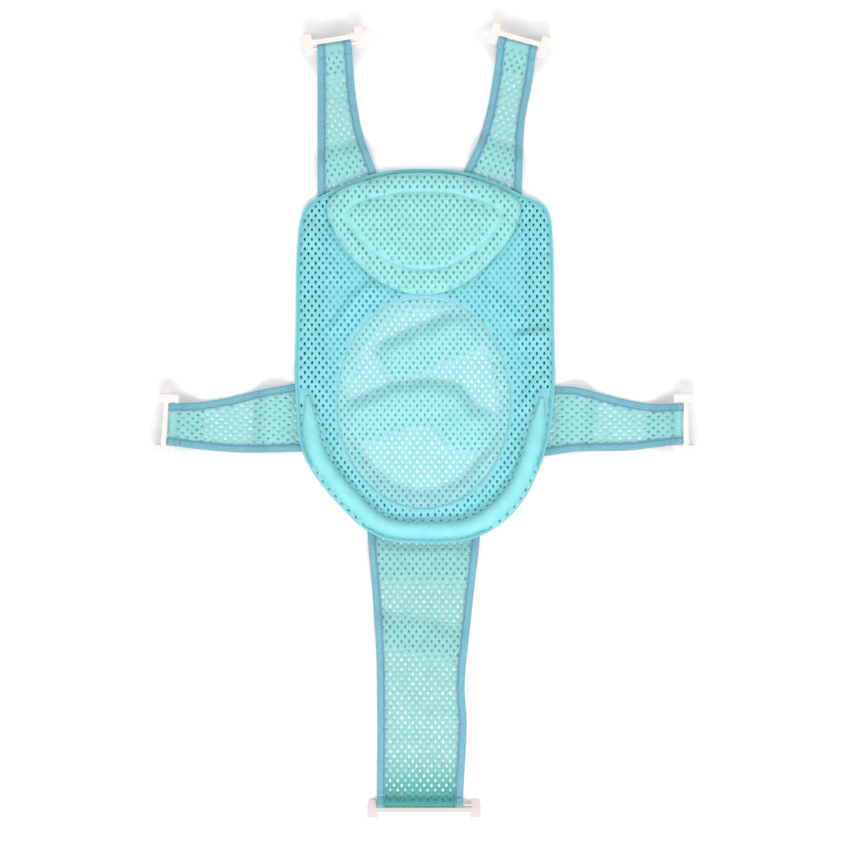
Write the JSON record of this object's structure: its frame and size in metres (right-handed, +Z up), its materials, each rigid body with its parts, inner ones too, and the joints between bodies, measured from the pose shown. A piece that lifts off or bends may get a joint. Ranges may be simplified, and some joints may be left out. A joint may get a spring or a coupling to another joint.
{
  "type": "baby bath support net",
  "caption": "Mesh sling laid out flat, with a quilted pillow, a padded bumper, a seat pouch and bound straps that end in swinging clips for the rim of a baby bath.",
  "frame": {"origin": "on the floor, under the middle of the box of the whole net", "axes": "+Y to the head end with the two shoulder straps, +X to the right as seen from above, +Z up"},
  "size_m": [0.6014, 0.9005, 0.0214],
  "materials": {
    "mesh_fabric": "open polyester mesh, mint green",
    "cover_fabric": "polyester mesh over foam, mint green",
    "binding_tape": "woven edge tape, sky blue",
    "foam": "open cell foam",
    "clip_plastic": "moulded, white"
  },
  "bodies": {
    "net_body": {"net_panel": "mesh_fabric", "body_binding": "binding_tape", "seat_panel": "mesh_fabric", "seat_seam_tape": "binding_tape", "pillow_cover": "cover_fabric", "pillow_foam": "foam", "bumper_cover": "cover_fabric", "bumper_foam": "foam"},
    "shoulder_left_strap": {"shoulder_strap_left": "mesh_fabric", "shoulder_tape_left_outer": "binding_tape", "shoulder_tape_left_inner": "binding_tape"},
    "shoulder_left_clip": {"shoulder_clip_left": "clip_plastic"},
    "shoulder_right_strap": {"shoulder_strap_right": "mesh_fabric", "shoulder_tape_right_inner": "binding_tape", "shoulder_tape_right_outer": "binding_tape"},
    "shoulder_right_clip": {"shoulder_clip_right": "clip_plastic"},
    "side_left_strap": {"side_strap_left": "mesh_fabric", "side_tape_left_foot": "binding_tape", "side_tape_left_head": "binding_tape"},
    "side_left_clip": {"side_clip_left": "clip_plastic"},
    "side_right_strap": {"side_strap_right": "mesh_fabric", "side_tape_right_head": "binding_tape", "side_tape_right_foot": "binding_tape"},
    "side_right_clip": {"side_clip_right": "clip_plastic"},
    "foot_strap": {"foot_strap": "mesh_fabric", "foot_tape_right": "binding_tape", "foot_tape_left": "binding_tape"},
    "foot_clip": {"foot_clip": "clip_plastic"}
  },
  "joints": [
    {"name": "shoulder_left_fold", "type": "hinge", "parent": "net_body", "child": "shoulder_left_strap", "pos_m": [-0.08694, 0.26862, 0.0038], "axis": [0.9191, 0.3939, 0], "range_deg": [0, 75]},
    {"name": "shoulder_left_clip_swing", "type": "hinge", "parent": "shoulder_left_strap", "child": "shoulder_left_clip", "pos_m": [-0.1, 0.4212, 0.0163], "axis": [0.988, 0.1547, 0], "range_deg": [-95, 110]},
    {"name": "shoulder_right_fold", "type": "hinge", "parent": "net_body", "child": "shoulder_right_strap", "pos_m": [0.07776, 0.27081, 0.0038], "axis": [0.9125, -0.4091, 0], "range_deg": [0, 75]},
    {"name": "shoulder_right_clip_swing", "type": "hinge", "parent": "shoulder_right_strap", "child": "shoulder_right_clip", "pos_m": [0.1037, 0.4222, 0.0163], "axis": [0.9627, -0.2706, 0], "range_deg": [-95, 110]},
    {"name": "side_left_fold", "type": "hinge", "parent": "net_body", "child": "side_left_strap", "pos_m": [-0.14269, 0.0075, 0.0038], "axis": [-0.089, 0.996, 0], "range_deg": [0, 90]},
    {"name": "side_left_clip_swing", "type": "hinge", "parent": "side_left_strap", "child": "side_left_clip", "pos_m": [-0.2813, 0.0001, 0.018], "axis": [0.0663, 0.9978, 0], "range_deg": [-90, 120]},
    {"name": "side_right_fold", "type": "hinge", "parent": "net_body", "child": "side_right_strap", "pos_m": [0.14323, 0.00383, 0.0038], "axis": [-0.0486, -0.9988, 0], "range_deg": [0, 90]},
    {"name": "side_right_clip_swing", "type": "hinge", "parent": "side_right_strap", "child": "side_right_clip", "pos_m": [0.2833, 0.0006, 0.018], "axis": [0, -1, 0], "range_deg": [-90, 120]},
    {"name": "foot_fold", "type": "hinge", "parent": "net_body", "child": "foot_strap", "pos_m": [-0.0008, -0.1333, 0.0038], "axis": [-1, 0, 0], "range_deg": [0, 90]},
    {"name": "foot_clip_swing", "type": "hinge", "parent": "foot_strap", "child": "foot_clip", "pos_m": [-0.0005, -0.4255, 0.0057], "axis": [-1, 0, 0], "range_deg": [-125, 78]}
  ]
}
